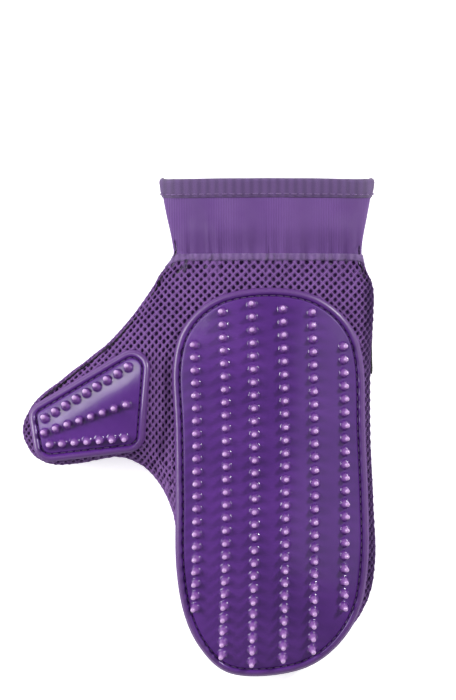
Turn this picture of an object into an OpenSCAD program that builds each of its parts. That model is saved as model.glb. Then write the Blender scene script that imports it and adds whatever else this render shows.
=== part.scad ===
// Grooming mitt with rubber-nub pads, lying on its back with the palm side up.
// +X runs from the thumb to the little finger, +Y from the fingertip to the cuff, +Z up out of the palm.
// It is drawn with the main pad's middle at x = 0 and the wrist elastic at y = 0, then moved to its origin,
// which is the middle of its box on the surface that it rests on.

/* [Mitt] */
// Height of the crown of the filled pocket above the surface it rests on
crown = 30; // [28:0.5:33]
// Height of the side seam, where the front and back panels meet
seam_z = 12; // [10:0.5:13]
// Length of the cuff beyond the elastic
cuff_length = 36; // [30:1:50]

/* [Fabric] */
// Thickness of the spacer mesh on the palm side
mesh_wall = 3.2; // [2.5:0.1:4]
// Thickness of the foam-backed knit on the back and the cuff
back_wall = 2.6; // [2:0.1:3.5]
// Width of the elastic tape sewn inside the wrist
elastic_width = 6; // [4:0.5:7]
// Thickness of the elastic tape
elastic_wall = 1.2; // [0.8:0.1:1.6]
// Width of the folded hem tape round the cuff's opening
hem_width = 8; // [6:0.5:10]
// Thickness of the hem tape
hem_wall = 1; // [0.6:0.1:1.4]

/* [Rubber pads] */
// Thickness of a pad between its nubs
pad_wall = 2; // [1.6:0.1:2.6]
// Width of the raised bead round a pad
rim_width = 3.2; // [2.5:0.1:4]
// Height of the bead above the pad's face
rim_rise = 1.3; // [0.8:0.1:2]
// Width of the sewing groove inside the bead
groove_width = 1.6; // [1.2:0.1:2]

/* [Nubs] */
// Height of a nub above the pad's face
nub_height = 4.8; // [3.5:0.1:5]
// Diameter of a nub at its foot
nub_foot = 4.2; // [3.4:0.1:4.5]
// Diameter of a nub's tip
nub_tip = 2; // [1.4:0.1:2.4]

/* [Stitches] */
// Distance from one stitch to the next
stitch_pitch = 4.2; // [3.5:0.1:6]
// Length of one stitch
stitch_length = 3.2; // [2:0.1:3.4]
// Thread diameter
thread = 0.7; // [0.4:0.05:0.8]

/* [Label] */
// Length of the folded woven label in the side seam
label_length = 33; // [20:1:40]
// Thickness of the label
label_wall = 0.7; // [0.4:0.1:1]

/* [Hidden] */

// The seam line round the hand pocket, clockwise from the wrist on the little finger's side.
seam_points = [
    [41, 6], [42, 0], [46.2, -8], [48, -20], [46.8, -50], [46.8, -85], [48, -118], [48.4, -142], [44.5, -161],
    [34.5, -177], [17, -189], [-3, -195], [-20, -192], [-32, -180], [-39.6, -165], [-43, -143],
    [-44, -125], [-48.5, -110], [-57, -98.5], [-70, -93.5], [-88, -96], [-101, -96.6], [-110.5, -91.5],
    [-115.4, -80], [-110, -68], [-95.6, -56], [-74, -39], [-59, -19.5], [-51, -7.5],
    [-45, 0], [-44, 6]
];
// The main pad's outer edge, clockwise from the middle of its wrist end.
pad_points = [
    [0, -14], [22, -18], [37.5, -31], [43.5, -49], [44.5, -80], [45.8, -112], [46, -140], [43, -163],
    [34, -180.5], [18, -191], [-3, -196], [-21, -194], [-33.4, -183], [-40.8, -166], [-43.8, -143],
    [-44, -112], [-44.5, -80], [-45.4, -50], [-39.5, -31], [-24, -18]
];
// The columns of nubs on the main pad: x, y of the first and the last nub, and count.
nub_columns = [
    [-35.4, -40.4, -162.6, 22], [-21.7, -25.3, -185, 28], [-8.1, -21.7, -188.6, 29],
    [5.8, -23.9, -186.3, 28], [19.3, -25.5, -182.3, 27], [33.3, -41.1, -162, 21]
];
// The columns bow towards the little finger by this much at mid-length.
column_bow = 1.6;
column_middle = -105;
column_half = 86;
// The thumb pad's corners: x, y and corner radius.
thumb_corners = [[-64.4, -51.6, 8.8], [-66.6, -82.4, 8.6], [-101.6, -86.4, 8.4], [-105.2, -74.2, 7.2]];
// The rows of nubs on the thumb pad: first foot, last foot and count.
thumb_rows = [
    [[-104.4, -75], [-65.2, -51.2], 9], [[-104.2, -81.4], [-65.6, -68], 8], [[-102, -86.8], [-67.2, -84], 7]
];

// Bends of the fabric: the knuckle line, the thumb's fold and the wrist.
knuckle_y = -132;
thumb_x = -51;
fold_gap = 0.5;
cuff_tilt = 20;

// The crown falls off in a parabola towards the wrist and towards the fingertip.
wrist_flat_y = -60;
wrist_drop = 5.5;
tip_flat_y = -125;
tip_drop = 15.5;
tip_y = -196;
// The elastic draws front and back in by this much at the wrist, over this reach to each side.
crease_depth = 2.6;
crease_reach = 16;
// Radius of the palm's crown from side to side, at its highest.
crown_radius = 130;
axis_z = crown - crown_radius;
// The thumb's front starts this high at the pad's near end and falls with this slope to the thumb's tip.
thumb_z = 23;
thumb_near_x = -58;
thumb_fall = 0.1;

// The sides of the pocket round over in quarter ellipses this wide.
front_round = 5;
back_round = 9;
round_steps = 4;
top_steps = 8;
box = 400;

// The cuff flares from the wrist to its opening, and its back lifts clear of the surface below.
wrist_left = -45;
wrist_right = 42;
cuff_flare = 5;
cuff_lift = 2.8;

pad_gap = 0.35;
groove_depth = 0.7;
stitch_inset = rim_width + groove_width / 2;
nub_sides = 8;
thread_sides = 8;
// Clearance of the thread from what it is sewn on.
stitch_clear = 0.15;
elastic_y = -2;
label_y = -38;
label_round = 9.3;

// Height of the fabric's crown above the resting surface at this y.
function crease(y) = abs(y) < crease_reach ? crease_depth * (1 + cos(180 * y / crease_reach)) / 2 : 0;
function crown_at(y) =
    y > wrist_flat_y ? crown - wrist_drop * pow((y - wrist_flat_y) / wrist_flat_y, 2) - crease(y)
    : y < tip_flat_y ? crown - tip_drop * pow((y - tip_flat_y) / (tip_y - tip_flat_y), 2)
    : crown;
function surface_z(x, y) = axis_z + sqrt(pow(crown_at(y) - axis_z, 2) - x * x);
function thumb_top(x) = thumb_z - thumb_fall * abs(x - thumb_near_x);

// A closed smooth curve through the points, with steps pieces between two points.
function smooth(p, steps) = [
    for (i = [0:len(p) - 1], k = [0:steps - 1])
        let (
            t = k / steps, n = len(p),
            a = p[(i + n - 1) % n], b = p[i], c = p[(i + 1) % n], d = p[(i + 2) % n]
        )
        0.5 * (2 * b + (c - a) * t + (2 * a - 5 * b + 4 * c - d) * t * t + (3 * b - a - 3 * c + d) * t * t * t)
];
// Where a closed outline crosses the line on which coordinate axis has this value.
function crossings(outline, axis, value) = [
    for (i = [0:len(outline) - 1])
        let (a = outline[i], b = outline[(i + 1) % len(outline)])
        if ((a[axis] > value) != (b[axis] > value))
            (a + (b - a) * (value - a[axis]) / (b[axis] - a[axis]))[1 - axis]
];
// A clockwise closed outline moved inwards.
function moved_in(outline, distance) = [
    for (i = [0:len(outline) - 1])
        let (
            n = len(outline), d = outline[(i + 1) % n] - outline[(i + n - 1) % n],
            side = [d[1], -d[0]] / norm(d)
        )
        outline[i] + distance * side
];

seam_line = smooth(seam_points, 6);
pad_line = smooth(pad_points, 4);

// One cross-section of the pocket between the edges a and b, as [across, height] points in order.
// top is the height of the front at a place across, base the height of the underside.
function section(a, b, top, base) =
    let (
        fr = min(front_round, (b - a) * 0.45), br = min(back_round, (b - a) * 0.45),
        turn = [for (k = [0:round_steps]) 90 * k / round_steps]
    )
    concat(
        [for (t = turn) [b - fr + fr * cos(t), seam_z + (top(b - fr) - seam_z) * sin(t)]],
        [for (k = [1:top_steps - 1]) let (u = b - fr - (b - a - 2 * fr) * k / top_steps) [u, top(u)]],
        [for (t = turn) [a + fr - fr * sin(t), seam_z + (top(a + fr) - seam_z) * cos(t)]],
        [for (t = turn) if (t > 0) [a + br - br * cos(t), seam_z - (seam_z - base) * sin(t)]],
        [for (t = turn) if (t < 90) [b - br + br * sin(t), seam_z - (seam_z - base) * cos(t)]]
    );

// Near the end of the pocket its underside rounds up to the seam, at this distance from the end.
function end_base(distance) =
    distance >= back_round ? 0 : seam_z * (1 - sqrt(1 - pow(1 - max(distance, 0) / back_round, 2)));

// Rings round the hand, the thumb and the cuff, drawn in by front on the palm side and by back below.
hand_stations = [2, -1, -5, -10, -16, -26, -42, -60, -95, -112, -125, -140, -153, -164, -173, -181, -187, -191.5, -194.4];
hand_end = -194.4;
function hand_ring(s, front, back) =
    let (
        y = s < -150 ? s + front * (-150 - s) / (-150 - hand_end) : s,
        edge = crossings(seam_line, 1, min(y, 0)),
        top = function (x) surface_z(x, y) - front,
        base = max(end_base(s - hand_end), crease(y) + back)
    )
    [for (p = section(max(min(edge), thumb_near_x) + front, max(edge) - front, top, base)) [p[0], y, p[1]]];

thumb_stations = [-46, -58, -68, -80, -92, -101, -107, -111.5, -114.6];
thumb_end = -114.6;
function thumb_ring(s, front, back) =
    let (
        x = s < -90 ? s + front * (-90 - s) / (-90 - thumb_end) : s,
        edge = crossings(seam_line, 0, x),
        top = function (y) thumb_top(x) - crown + crown_at(y) - front,
        base = max(end_base(s - thumb_end), back)
    )
    [for (p = section(min(edge) + front, max(edge) - front, top, base)) [x, p[0], p[1]]];

cuff_stations = [-2, 2, 6, 11, 16, 26, cuff_length + 4];
function cuff_ring(y, wall) =
    let (
        out = cuff_flare * max(y, 0) / cuff_length,
        top = function (x) surface_z(x, min(y, 0)) + (y > 0 ? crease(0) - crease(y) : 0) + out - wall,
        base = crease(y) + cuff_lift * max(y, 0) / cuff_length + wall
    )
    [for (p = section(wrist_left - out + wall, wrist_right + out - wall, top, base)) [p[0], y, p[1]]];

// A solid through closed rings of equally many points, each ring flat and bulging outwards everywhere.
module loft(rings) {
    n = len(rings[0]);
    for (i = [0:len(rings) - 2])
        hull()
            polyhedron(
                concat(rings[i], rings[i + 1]),
                concat(
                    [[for (k = [0:n - 1]) k], [for (k = [n - 1:-1:0]) n + k]],
                    [for (k = [0:n - 1]) [(k + 1) % n, k, n + k, n + (k + 1) % n]]
                )
            );
}

// The pocket's outer form, or the space inside walls of these thicknesses.
module pocket(front = 0, back = 0) {
    loft([for (s = hand_stations) hand_ring(s, front, back)]);
    loft([for (s = thumb_stations) thumb_ring(s, front, back)]);
}
module cuff_form(wall = 0) loft([for (y = cuff_stations) cuff_ring(y, wall)]);

// Boxes that keep one stretch of the mitt.
module between(x = [-box, box], y = [-box, box], z = [-box, box])
    translate([x[0], y[0], z[0]])
        cube([x[1] - x[0], y[1] - y[0], z[1] - z[0]]);
front_z = [seam_z, box];
back_z = [-box, seam_z];

// A wedge on the wrist line that opens upwards and downwards, so that the cuff can tilt both ways.
module wrist_wedge(side) {
    open = box * tan(cuff_tilt / 2);
    translate([0, side * fold_gap / 2, seam_z])
        rotate([90, 0, 90])
            linear_extrude(2 * box, center = true)
                polygon([[0, 0], [side * open, box], [-side * box, box], [-side * box, -box], [side * open, -box]]);
}

module palm_region(z) difference() {
    between([thumb_x + fold_gap / 2, box], [knuckle_y + fold_gap / 2, 0], z);
    wrist_wedge(-1);
}
module finger_region(z) between([-box, box], [-box, knuckle_y - fold_gap / 2], z);
module thumb_region(z) difference() {
    between([-box, thumb_x - fold_gap / 2], [-box, 0], z);
    wrist_wedge(-1);
}

module panel(shade) color(shade) intersection() {
    difference() {
        pocket();
        pocket(mesh_wall, back_wall);
    }
    children();
}
module palm_front() panel("mediumpurple") palm_region(front_z);
module palm_back() panel("rebeccapurple") palm_region(back_z);
module finger_front() panel("mediumpurple") finger_region(front_z);
module finger_back() panel("rebeccapurple") finger_region(back_z);
module thumb_front() panel("mediumpurple") thumb_region(front_z);
module thumb_back() panel("rebeccapurple") thumb_region(back_z);

// A curved sheet that follows the crown, between two heights above it.
sheet_across = 12;
sheet_along = 10;
sheet_columns = 8;
sheet_rows = 20;
module sheet(low, high) {
    n = sheet_columns + 1;
    m = sheet_rows + 1;
    points = [
        for (h = [low, high], j = [0:sheet_rows], i = [0:sheet_columns])
            let (x = (i - sheet_columns / 2) * sheet_across, y = -6 - j * sheet_along)
            [x, y, surface_z(x, y) + h]
    ];
    function at(layer, j, i) = layer * n * m + j * n + i;
    polyhedron(points, concat(
        [for (j = [0:m - 2], i = [0:n - 2]) [at(0, j + 1, i + 1), at(0, j, i + 1), at(0, j, i)]],
        [for (j = [0:m - 2], i = [0:n - 2]) [at(0, j + 1, i), at(0, j + 1, i + 1), at(0, j, i)]],
        [for (j = [0:m - 2], i = [0:n - 2]) [at(1, j, i + 1), at(1, j + 1, i + 1), at(1, j, i)]],
        [for (j = [0:m - 2], i = [0:n - 2]) [at(1, j + 1, i + 1), at(1, j + 1, i), at(1, j, i)]],
        [for (i = [0:n - 2]) [at(0, 0, i + 1), at(1, 0, i + 1), at(1, 0, i), at(0, 0, i)]],
        [for (i = [0:n - 2]) [at(0, m - 1, i), at(1, m - 1, i), at(1, m - 1, i + 1), at(0, m - 1, i + 1)]],
        [for (j = [0:m - 2]) [at(0, j, 0), at(1, j, 0), at(1, j + 1, 0), at(0, j + 1, 0)]],
        [for (j = [0:m - 2]) [at(0, j + 1, n - 1), at(1, j + 1, n - 1), at(1, j, n - 1), at(0, j, n - 1)]]
    ));
}

// A nub that stands on a pad's face, with its foot sunk a little into the pad.
module nub() hull() {
    translate([0, 0, -pad_wall / 2])
        cylinder(h = pad_wall / 2, d = nub_foot, $fn = nub_sides);
    cylinder(h = nub_height * 0.85, d1 = nub_foot, d2 = nub_tip, $fn = nub_sides);
    cylinder(h = nub_height, d = nub_tip * 0.5, $fn = nub_sides);
}

face_rise = pad_gap + pad_wall;
function column_x(x, y) = x + column_bow * (1 - pow((y - column_middle) / column_half, 2));
// Nubs keep clear of the knuckle line, where the pad folds.
nub_clear = nub_foot / 2 + fold_gap / 2 + 0.1;
function clear_y(y) = abs(y - knuckle_y) < nub_clear ? knuckle_y + sign(y - knuckle_y) * nub_clear : y;
module main_nubs()
    for (column = nub_columns, i = [0:column[3] - 1]) {
        y = clear_y(column[1] + (column[2] - column[1]) * i / (column[3] - 1));
        x = column_x(column[0], y);
        rise = surface_z(x, y + 0.5) - surface_z(x, y - 0.5);
        lean = surface_z(x + 0.5, y) - surface_z(x - 0.5, y);
        translate([x, y, surface_z(x, y) + face_rise])
            rotate([atan(rise), -atan(lean), 0])
                nub();
    }

// The pad's outline, drawn in by the given distance.
module prism(low, high) translate([0, 0, low]) linear_extrude(high - low) children();
module main_outline(inset) offset(delta = -inset) polygon(pad_line);

module main_pad() {
    difference() {
        intersection() {
            sheet(pad_gap, face_rise + rim_rise);
            prism(0, box) main_outline(0);
        }
        intersection() {
            sheet(face_rise, face_rise + box);
            prism(0, box / 2) main_outline(rim_width);
        }
        intersection() {
            sheet(face_rise - groove_depth, face_rise + box);
            prism(0, box / 2) difference() {
                main_outline(rim_width);
                main_outline(rim_width + groove_width);
            }
        }
    }
    main_nubs();
}
module palm_pad() color("darkviolet") intersection() {
    main_pad();
    palm_region([-box, box]);
}
module finger_pad() color("darkviolet") intersection() {
    main_pad();
    finger_region([-box, box]);
}

// The thumb pad lies on the thumb's sloping front.
module thumb_outline(inset)
    hull()
        for (c = thumb_corners)
            translate([c[0], c[1]])
                circle(r = c[2] - inset, $fn = 32);
module on_thumb()
    translate([thumb_near_x, 0, thumb_z])
        rotate([0, -atan(thumb_fall), 0])
            translate([-thumb_near_x, 0, 0])
                children();
module thumb_pad() color("darkviolet") on_thumb() {
    difference() {
        prism(pad_gap, face_rise + rim_rise) thumb_outline(0);
        prism(face_rise, box) thumb_outline(rim_width);
        prism(face_rise - groove_depth, box) difference() {
            thumb_outline(rim_width);
            thumb_outline(rim_width + groove_width);
        }
    }
    for (row = thumb_rows, i = [0:row[2] - 1]) {
        foot = row[0] + (row[1] - row[0]) * i / (row[2] - 1);
        translate([foot[0], foot[1], face_rise])
            nub();
    }
}

// Stitches along a closed path: each is a pair of points.
function marks(path) = [
    for (i = 0, s = 0; i <= len(path); s = s + norm(path[(i + 1) % len(path)] - path[i % len(path)]), i = i + 1) s
];
function along(path, mark, s) =
    let (n = len(path), i = max([for (j = [0:n - 1]) if (mark[j] <= s) j]))
    path[i] + (path[(i + 1) % n] - path[i]) * (s - mark[i]) / (mark[i + 1] - mark[i]);
function stitches(path) =
    let (mark = marks(path), total = mark[len(path)], count = floor(total / stitch_pitch), pitch = total / count)
    [for (k = [0:count - 1]) [along(path, mark, k * pitch), along(path, mark, k * pitch + stitch_length)]];
module strand(a, b) {
    d = b - a;
    translate(a)
        rotate([0, acos(d[2] / norm(d)), atan2(d[1], d[0])])
            cylinder(h = norm(d), d = thread, $fn = thread_sides);
}

groove_z = face_rise - groove_depth + thread / 2 + stitch_clear;
main_stitches = stitches([
    for (p = moved_in(pad_line, stitch_inset)) [p[0], p[1], surface_z(p[0], p[1]) + groove_z]
]);
module palm_pad_stitching() color("indigo")
    for (s = main_stitches)
        if (min(s[0][1], s[1][1]) > knuckle_y + fold_gap)
            strand(s[0], s[1]);
module finger_pad_stitching() color("indigo")
    for (s = main_stitches)
        if (max(s[0][1], s[1][1]) < knuckle_y - fold_gap)
            strand(s[0], s[1]);

// The thumb pad's stitch line: arcs round its corners, inside the bead.
thumb_line = [
    for (k = [0:len(thumb_corners) - 1])
        let (
            n = len(thumb_corners), c = thumb_corners[k],
            from = thumb_corners[(k + n - 1) % n] - c, to = thumb_corners[(k + 1) % n] - c,
            first = atan2(from[1], from[0]) - 90, turn = (atan2(to[1], to[0]) + 90 - first + 720) % 360
        )
        for (t = [0:4])
            let (a = first + (turn > 180 ? turn - 360 : turn) * t / 4)
            [c[0] + (c[2] - stitch_inset) * cos(a), c[1] + (c[2] - stitch_inset) * sin(a), groove_z]
];
module thumb_pad_stitching() color("indigo") on_thumb()
    for (s = stitches(thumb_line))
        strand(s[0], s[1]);

// The elastic lies inside the wrist, against the panels.
sewn_gap = 0.15;
module wrist_elastic() color("indigo") difference() {
    intersection() {
        difference() {
            pocket(mesh_wall + sewn_gap, back_wall + sewn_gap);
            pocket(mesh_wall + sewn_gap + elastic_wall, back_wall + sewn_gap + elastic_wall);
        }
        between(y = [elastic_y - elastic_width, elastic_y]);
    }
    wrist_wedge(-1);
}
stitch_sunk = elastic_wall + sewn_gap + thread / 2 + stitch_clear;
module elastic_stitching() color("mediumpurple")
    for (s = stitches(hand_ring(elastic_y - elastic_width / 2, mesh_wall + stitch_sunk, back_wall + stitch_sunk)))
        strand(s[0], s[1]);

// The cuff is a tube of the back's fabric, closed in front and behind and open at its end.
module cuff_tube() difference() {
    intersection() {
        cuff_form();
        between(y = [0, cuff_length]);
    }
    cuff_form(back_wall);
    wrist_wedge(1);
}
module cuff_front() color("rebeccapurple") intersection() {
    cuff_tube();
    between(z = front_z);
}
module cuff_back() color("rebeccapurple") intersection() {
    cuff_tube();
    between(z = back_z);
}
tape_gap = 0.05;
module cuff_hem() color("indigo") difference() {
    intersection() {
        cuff_form(-hem_wall);
        between(y = [cuff_length - hem_width, cuff_length + hem_wall]);
    }
    cuff_form(back_wall + hem_wall);
    intersection() {
        difference() {
            cuff_form(-tape_gap);
            cuff_form(back_wall + tape_gap);
        }
        between(y = [-box, cuff_length + tape_gap]);
    }
}
hem_stitch_y = cuff_length - hem_width + 1.5;
// Straight stitches cut the hem's rounded corners, so they stand off by more.
corner_clear = 0.5;
module hem_stitching() color("mediumpurple")
    for (s = stitches(cuff_ring(hem_stitch_y, -hem_wall - thread / 2 - corner_clear)))
        strand(s[0], s[1]);

// The label is folded back round the rounded side of the back panel, below the seam.
label_x = 48.2;
label_top = 66;
label_bottom = 28;
label_gap = 0.3;
function label_point(t, out) =
    [label_x - label_round + (label_round + out) * sin(t), seam_z - (seam_z + out) * cos(t)];
label_steps = [label_bottom:(label_top - label_bottom) / 6:label_top];
module along_side(length)
    translate([0, label_y, 0])
        rotate([90, 0, 0])
            linear_extrude(length, center = true)
                children();
module side_label() color("black") along_side(label_length)
    polygon(concat(
        [for (t = label_steps) label_point(t, label_gap)],
        [for (t = label_steps) label_point(label_top + label_bottom - t, label_gap + label_wall)]
    ));
module label_stitching() color("mediumpurple") {
    count = floor(label_length / stitch_pitch);
    foot = label_point(label_top - 5, label_gap + label_wall + thread / 2 + 0.05);
    for (k = [0:count - 1]) {
        y = label_y + (k - count / 2) * stitch_pitch;
        strand([foot[0], y, foot[1]], [foot[0], y + stitch_length, foot[1]]);
    }
}

right = max([for (p = seam_line) p[0]]);
bottom = min([for (p = pad_line) p[1]]);
origin_shift = [-(thumb_end + right) / 2, -(bottom + cuff_length + hem_wall) / 2, 0];

module placed() translate(origin_shift) children();
placed() palm_front();
placed() palm_back();
placed() palm_pad();
placed() palm_pad_stitching();
placed() wrist_elastic();
placed() elastic_stitching();
placed() finger_front();
placed() finger_back();
placed() finger_pad();
placed() finger_pad_stitching();
placed() thumb_front();
placed() thumb_back();
placed() thumb_pad();
placed() thumb_pad_stitching();
placed() cuff_front();
placed() cuff_back();
placed() cuff_hem();
placed() hem_stitching();
placed() side_label();
placed() label_stitching();
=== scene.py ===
"""Grooming mitt with rubber-nub pads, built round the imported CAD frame.

Shapes are worked out in drawing millimetres: x = 0 is the main pad's middle, y = 0 the join of hand and cuff,
z = 0 the surface that the mitt lies on. to_frame() turns them into the frame's metres.
"""
import math

import bpy
import numpy as np
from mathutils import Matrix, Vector, geometry


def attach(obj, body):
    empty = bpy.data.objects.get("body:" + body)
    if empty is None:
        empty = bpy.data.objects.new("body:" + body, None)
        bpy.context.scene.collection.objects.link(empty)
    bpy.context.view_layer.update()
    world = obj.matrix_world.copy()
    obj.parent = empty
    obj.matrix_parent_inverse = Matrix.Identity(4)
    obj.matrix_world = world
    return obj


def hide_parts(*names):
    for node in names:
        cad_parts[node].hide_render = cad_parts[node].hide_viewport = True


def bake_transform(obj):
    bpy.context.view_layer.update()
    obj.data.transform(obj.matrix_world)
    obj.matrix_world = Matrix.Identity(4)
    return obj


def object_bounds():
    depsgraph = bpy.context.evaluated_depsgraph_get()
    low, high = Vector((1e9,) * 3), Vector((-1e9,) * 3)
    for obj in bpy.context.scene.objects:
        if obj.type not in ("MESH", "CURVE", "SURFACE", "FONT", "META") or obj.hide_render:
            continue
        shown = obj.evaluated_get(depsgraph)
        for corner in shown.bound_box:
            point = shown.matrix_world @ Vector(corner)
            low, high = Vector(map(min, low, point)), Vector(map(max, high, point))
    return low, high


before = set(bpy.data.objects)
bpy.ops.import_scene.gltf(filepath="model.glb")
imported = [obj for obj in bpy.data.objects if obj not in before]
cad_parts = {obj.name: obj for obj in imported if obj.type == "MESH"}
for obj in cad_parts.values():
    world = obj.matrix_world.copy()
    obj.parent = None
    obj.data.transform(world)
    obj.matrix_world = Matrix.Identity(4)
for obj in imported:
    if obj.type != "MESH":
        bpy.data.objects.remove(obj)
CAD_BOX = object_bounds()

# The drawing's zero, from the CAD box: the thumb's tip and the hem's end are at known places in it.
THUMB_TIP_X = -114.6
HEM_END_Y = 37.0
SHIFT = np.array([CAD_BOX[0][0] * 1000 - THUMB_TIP_X, CAD_BOX[1][1] * 1000 - HEM_END_Y, 0.0])


def to_frame(points):
    return (np.asarray(points, float) + SHIFT) / 1000


# ---------------------------------------------------------------- outlines

# The side seam, clockwise from the cuff's end on the little finger's side.
SEAM = [
    (50.5, 52), (49, 37), (46.4, 22), (43.8, 8), (43.6, 0), (45.9, -6), (48.9, -14), (49, -27), (47.6, -50),
    (47.6, -85), (49, -115), (49.8, -142), (46.1, -161), (35.4, -177), (18, -190.6), (-3, -195.4),
    (-21, -193), (-32.5, -181.6), (-39.5, -166), (-43.4, -143), (-45, -124), (-49.9, -110.2), (-58.3, -99.4),
    (-70.5, -93.8), (-88.2, -96.5), (-101.7, -97.3), (-111.7, -92.3), (-116.7, -80.4), (-110.7, -67.2),
    (-96.2, -55.1), (-74.9, -38), (-59.4, -19.3), (-51.8, -7), (-46, 0), (-46.4, 8), (-49.4, 22), (-52, 37),
    (-53.5, 52),
]
# The main pad's edge, clockwise from the middle of its wrist end.
PAD_EDGE = [
    (0, -14), (22, -18), (37.5, -31), (43.5, -49), (44.5, -80), (45.8, -112), (46, -140), (42.6, -163),
    (33, -180), (18, -191.5), (-3, -196), (-21, -194), (-32.9, -182.5), (-40.3, -166), (-43.8, -143),
    (-44, -112), (-44.5, -80), (-45.4, -50), (-39.5, -31), (-24, -18),
]
# The thumb pad's corners: x, y and corner radius.
THUMB_CORNERS = [(-64.4, -51.6, 8.8), (-66.6, -82.4, 8.6), (-102.2, -86.8, 8.4), (-105.8, -74.2, 7.2)]
# Columns of nubs on the main pad: x, y of the first and last nub, and count.
NUB_COLUMNS = [
    (-36.1, -40.4, -162.6, 22), (-22.5, -25.3, -185, 28), (-8.5, -21.7, -188.6, 29), (5.8, -23.9, -186.3, 28),
    (19.3, -25.5, -182.3, 27), (33.3, -41.1, -162, 21),
]
# How far the columns bow to the right, the left two beyond that, and all towards the fingertip.
COLUMN_BOW, LEFT_BOW, DOWN_BOW = 1.6, 0.8, 0.6
COLUMN_MIDDLE, COLUMN_HALF = -105.0, 86.0
# Rows of nubs on the thumb pad: both ends, and count.
THUMB_ROWS = [
    ((-104.9, -75), (-65.8, -51.2), 9),
    ((-105, -81.8), (-66.8, -68.4), 8),
    ((-102.6, -87.2), (-67.8, -83.9), 7),
]


def smooth(points, steps, closed):
    """A Catmull-Rom curve through the points."""
    p = np.array(points, float)
    n = len(p)
    p = np.vstack([p[-1:], p, p[:2]]) if closed else np.vstack([2 * p[:1] - p[1:2], p, 2 * p[-1:] - p[-2:-1]])
    out = []
    for i in range(n if closed else n - 1):
        a, b, c, d = p[i:i + 4]
        for t in np.arange(steps) / steps:
            out.append(0.5 * (2 * b + (c - a) * t + (2 * a - 5 * b + 4 * c - d) * t * t
                              + (3 * b - a - 3 * c + d) * t ** 3))
    if not closed:
        out.append(p[-2])
    return np.array(out)


def resample(path, spacing):
    """A closed path with points an even distance apart."""
    ring = np.vstack([path, path[:1]])
    s = np.concatenate([[0], np.cumsum(np.linalg.norm(np.diff(ring, axis=0), axis=1))])
    marks = np.linspace(0, s[-1], max(8, int(round(s[-1] / spacing))), endpoint=False)
    return np.stack([np.interp(marks, s, ring[:, k]) for k in range(path.shape[1])], axis=1)


def inward(path, closed):
    """Unit normals to the right of the way along the path: inwards on a clockwise one."""
    d = np.roll(path, -1, 0) - np.roll(path, 1, 0) if closed else np.gradient(path, axis=0)
    return np.stack([d[:, 1], -d[:, 0]], 1) / np.linalg.norm(d, axis=1)[:, None]


def is_inside(points, loop):
    """Whether each 2-D point is inside the closed loop."""
    x, y = points[:, 0], points[:, 1]
    hit = np.zeros(len(points), bool)
    for a, b in zip(loop, np.roll(loop, -1, 0)):
        cross = (a[1] > y) != (b[1] > y)
        run = b[1] - a[1] if b[1] != a[1] else 1
        hit ^= cross & (x < (b[0] - a[0]) * (y - a[1]) / run + a[0])
    return hit


SEAM_PATH = smooth(SEAM, 8, closed=False)
SEAM_NORMALS = inward(SEAM_PATH, closed=False)
PAD_PATH = resample(smooth(PAD_EDGE, 12, closed=True), 1.5)


def thumb_pad_path():
    out = []
    n = len(THUMB_CORNERS)
    for k, (x, y, r) in enumerate(THUMB_CORNERS):
        before, after = THUMB_CORNERS[k - 1], THUMB_CORNERS[(k + 1) % n]
        first = math.atan2(before[1] - y, before[0] - x) - math.pi / 2
        last = math.atan2(after[1] - y, after[0] - x) + math.pi / 2
        turn = (last - first) % (2 * math.pi)
        turn -= 2 * math.pi if turn > math.pi else 0
        for angle in first + turn * np.linspace(0, 1, 14):
            out.append((x + r * math.cos(angle), y + r * math.sin(angle)))
    return resample(np.array(out), 1.2)


THUMB_PATH = thumb_pad_path()


def nearest_on_seam(points):
    """Signed distance inside the seam, the nearest seam point and the inward normal there."""
    a, b = SEAM_PATH[:-1], SEAM_PATH[1:]
    d = b - a
    length2 = (d * d).sum(1)
    distance, foot, normal = [], [], []
    for chunk in np.array_split(points, max(1, len(points) // 4000)):
        rel = chunk[:, None, :] - a[None]
        t = np.clip((rel * d[None]).sum(2) / length2, 0, 1)
        gap = rel - t[..., None] * d[None]
        k = (gap * gap).sum(2).argmin(1)
        rows = np.arange(len(chunk))
        tk = t[rows, k][:, None]
        q = a[k] + tk * d[k]
        n = SEAM_NORMALS[k] * (1 - tk) + SEAM_NORMALS[k + 1] * tk
        n /= np.linalg.norm(n, axis=1)[:, None]
        out = chunk - q
        side = np.sign((out * n).sum(1))
        distance.append(np.linalg.norm(out, axis=1) * np.where(side == 0, 1, side))
        foot.append(q)
        normal.append(n)
    return np.concatenate(distance), np.vstack(foot), np.vstack(normal)


# ---------------------------------------------------------------- the pocket's surfaces

# Height of the side seam, then of the palm's crown, with the radius that rounds it across.
SEAM_Z = 12.0
CROWN, CROWN_RADIUS = 30.0, 130.0
# Where the crown starts to drop towards the wrist and the tip, and by how much it drops there.
WRIST_FLAT_Y, WRIST_DROP = -60.0, 5.5
TIP_FLAT_Y, TIP_DROP, TIP_Y = -125.0, 15.5, -196.0
# The hollow at the wrist elastic: its depth and how far it reaches. Then the cuff, and how it opens.
CREASE_DEPTH, CREASE_REACH = 3.0, 15.0
CUFF_LENGTH, CUFF_FLARE, CUFF_LIFT = 36.0, 4.0, 2.8
THUMB_Z, THUMB_NEAR_X, THUMB_FALL = 24.6, -58.0, 0.1
# The thumb's front is round about a ridge through this point, with this direction across it and this radius.
RIDGE, RIDGE_SIDE, THUMB_ROUND = (-79.2, -77.0), (-0.515, 0.857), 52.0
# Where the palm's height passes into the thumb's: start and length of the change, along x and y.
THUMB_BLEND_X, THUMB_BLEND_Y = (-45.0, 12.0), (-122.0, 14.0)
# How far in from the seam each side's round shoulder reaches, and its length along the cloth.
FRONT_REACH, FRONT_ARC = 8.0, 14.5
BACK_REACH, BACK_ARC = 11.0, 17.0
# The stitched seam pinches the cloth in by this much, fading over this distance.
SEAM_PINCH, PINCH_FADE = 0.9, 1.1
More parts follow.
